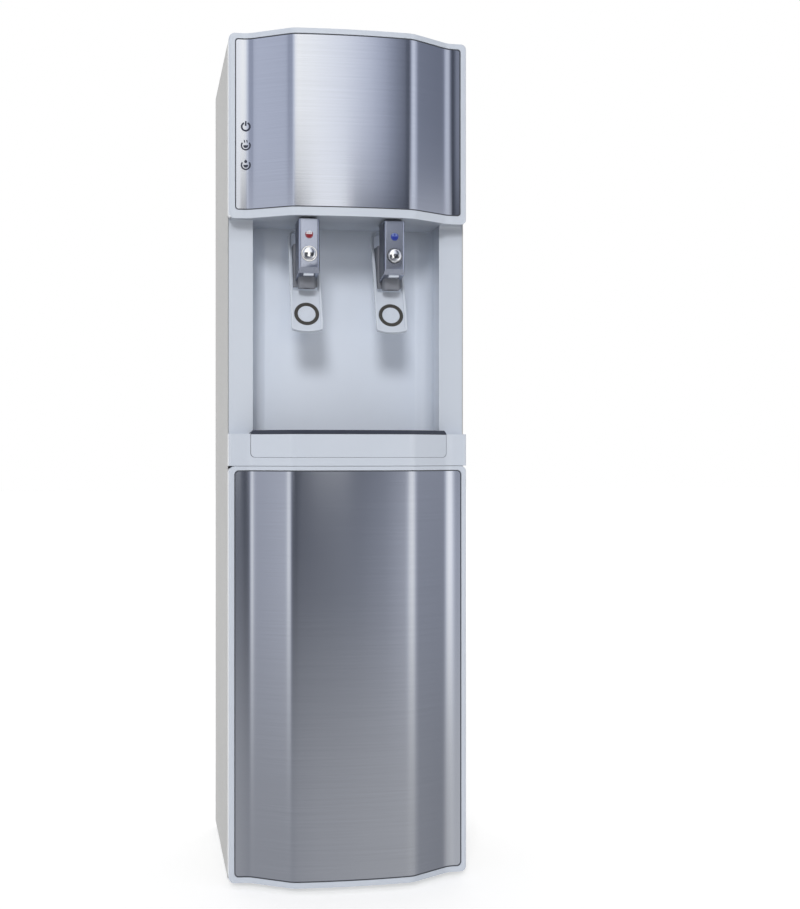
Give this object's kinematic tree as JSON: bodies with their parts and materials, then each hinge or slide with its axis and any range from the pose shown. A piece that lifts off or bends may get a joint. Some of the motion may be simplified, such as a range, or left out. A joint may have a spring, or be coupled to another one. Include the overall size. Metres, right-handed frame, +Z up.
{
  "type": "water dispenser",
  "caption": "Floor-standing water dispenser with a bowed steel front, lever taps for hot and cold water over a drip tray, and a rear condenser.",
  "frame": {"origin": "middle of the footprint, on the floor under the rubber feet", "axes": "+Z up, -Y towards the front with the taps, +X to the right seen from the front"},
  "size_m": [0.31, 0.36, 1.09],
  "materials": {
    "white_plastic": "satin",
    "steel_panel": "brushed",
    "side_paint": "fine textured powder coat",
    "dark_plastic": "satin",
    "silver_plastic": "silver paint",
    "chrome": "polished",
    "grey_plastic": "satin",
    "black_plastic": "satin",
    "black_paint": "semi-gloss",
    "rubber": "matte",
    "galvanised": "zinc plated",
    "stainless": "drawn",
    "copper": "drawn copper",
    "foam": "moulded foam",
    "silicone": "translucent",
    "circuit_board": "solder mask",
    "red_plastic": "gloss",
    "green_plastic": "gloss"
  },
  "bodies": {
    "cabinet": {"upper_front_frame": "white_plastic", "lower_front_frame": "white_plastic", "alcove_housing": "white_plastic", "tray_housing": "white_plastic", "filter_cartridges": "white_plastic", "water_inlet": "white_plastic", "drain_cap": "white_plastic", "upper_steel_panel": "steel_panel", "lower_steel_panel": "steel_panel", "left_side_panel": "side_paint", "right_side_panel": "side_paint", "top_cover": "side_paint", "hot_tap_cover": "silver_plastic", "cold_tap_cover": "silver_plastic", "button_rings": "chrome", "hot_tap_body": "grey_plastic", "cold_tap_body": "grey_plastic", "switch_bezel": "black_plastic", "power_inlet": "black_plastic", "terminal_cover": "black_plastic", "thermostats": "black_plastic", "compressor": "black_paint", "condenser_tube": "black_paint", "condenser_wires": "black_paint", "condenser_clips": "black_paint", "rubber_feet": "rubber", "compressor_grommets": "rubber", "base_plate": "galvanised", "back_panel": "galvanised", "tank_shelf": "galvanised", "filter_bracket": "galvanised", "rear_screws": "galvanised", "panel_clips": "galvanised", "hot_tap_spring": "stainless", "cold_tap_spring": "stainless", "lever_pins": "stainless", "cold_tank": "stainless", "hot_tank": "stainless", "evaporator_coil": "copper", "refrigerant_lines": "copper", "filter_drier": "copper", "band_heater": "copper", "cold_tank_jacket": "foam", "hot_tank_jacket": "foam", "cold_supply_tube": "silicone", "hot_supply_tube": "silicone", "water_lines": "silicone", "indicator_board": "circuit_board"},
    "drip_tray": {"drip_tray": "white_plastic"},
    "drip_grille": {"drip_grille": "dark_plastic"},
    "hot_lever": {"hot_tap_lever": "white_plastic", "hot_lever_ring": "dark_plastic"},
    "cold_lever": {"cold_tap_lever": "white_plastic", "cold_lever_ring": "dark_plastic"},
    "hot_stem": {"hot_tap_stem": "stainless"},
    "cold_stem": {"cold_tap_stem": "stainless"},
    "hot_button": {"hot_lock_button": "chrome"},
    "cold_button": {"cold_lock_button": "chrome"},
    "heating_rocker": {"heating_switch": "red_plastic"},
    "cooling_rocker": {"cooling_switch": "green_plastic"}
  },
  "joints": [
    {"name": "tray_slide", "type": "slide", "parent": "cabinet", "child": "drip_tray", "axis": [0, -1, 0], "range_m": [0, 0.12]},
    {"name": "grille_lift", "type": "slide", "parent": "drip_tray", "child": "drip_grille", "axis": [0, 0, 1], "range_m": [0, 0.03]},
    {"name": "hot_lever_swing", "type": "hinge", "parent": "cabinet", "child": "hot_lever", "pos_m": [-0.055, -0.104, 0.838], "axis": [1, 0, 0], "range_deg": [0, 8], "stiffness_Nm_per_rad": 1, "springref_deg": -17.19},
    {"name": "hot_stem_slide", "type": "slide", "parent": "cabinet", "child": "hot_stem", "axis": [0, 0, -1], "range_m": [0, 0.005], "deforming": ["hot_tap_spring"]},
    {"name": "hot_button_press", "type": "slide", "parent": "cabinet", "child": "hot_button", "axis": [0, 1, 0], "range_m": [0, 0.003], "stiffness_N_per_m": 300, "springref_m": -0.003},
    {"name": "cold_lever_swing", "type": "hinge", "parent": "cabinet", "child": "cold_lever", "pos_m": [0.055, -0.104, 0.838], "axis": [1, 0, 0], "range_deg": [0, 8], "stiffness_Nm_per_rad": 1, "springref_deg": -17.19},
    {"name": "cold_stem_slide", "type": "slide", "parent": "cabinet", "child": "cold_stem", "axis": [0, 0, -1], "range_m": [0, 0.005], "deforming": ["cold_tap_spring"]},
    {"name": "cold_button_press", "type": "slide", "parent": "cabinet", "child": "cold_button", "axis": [0, 1, 0], "range_m": [0, 0.003], "stiffness_N_per_m": 300, "springref_m": -0.003},
    {"name": "heating_rocker_tilt", "type": "hinge", "parent": "cabinet", "child": "heating_rocker", "pos_m": [-0.115, 0.149, 0.1483], "axis": [1, 0, 0], "range_deg": [0, 16]},
    {"name": "cooling_rocker_tilt", "type": "hinge", "parent": "cabinet", "child": "cooling_rocker", "pos_m": [-0.095, 0.149, 0.1483], "axis": [1, 0, 0], "range_deg": [0, 16]}
  ],
  "couplings": [
    {"joint": "hot_stem_slide", "follows": "hot_lever_swing", "m_per_rad": 0.0335},
    {"joint": "cold_stem_slide", "follows": "cold_lever_swing", "m_per_rad": 0.0335}
  ]
}
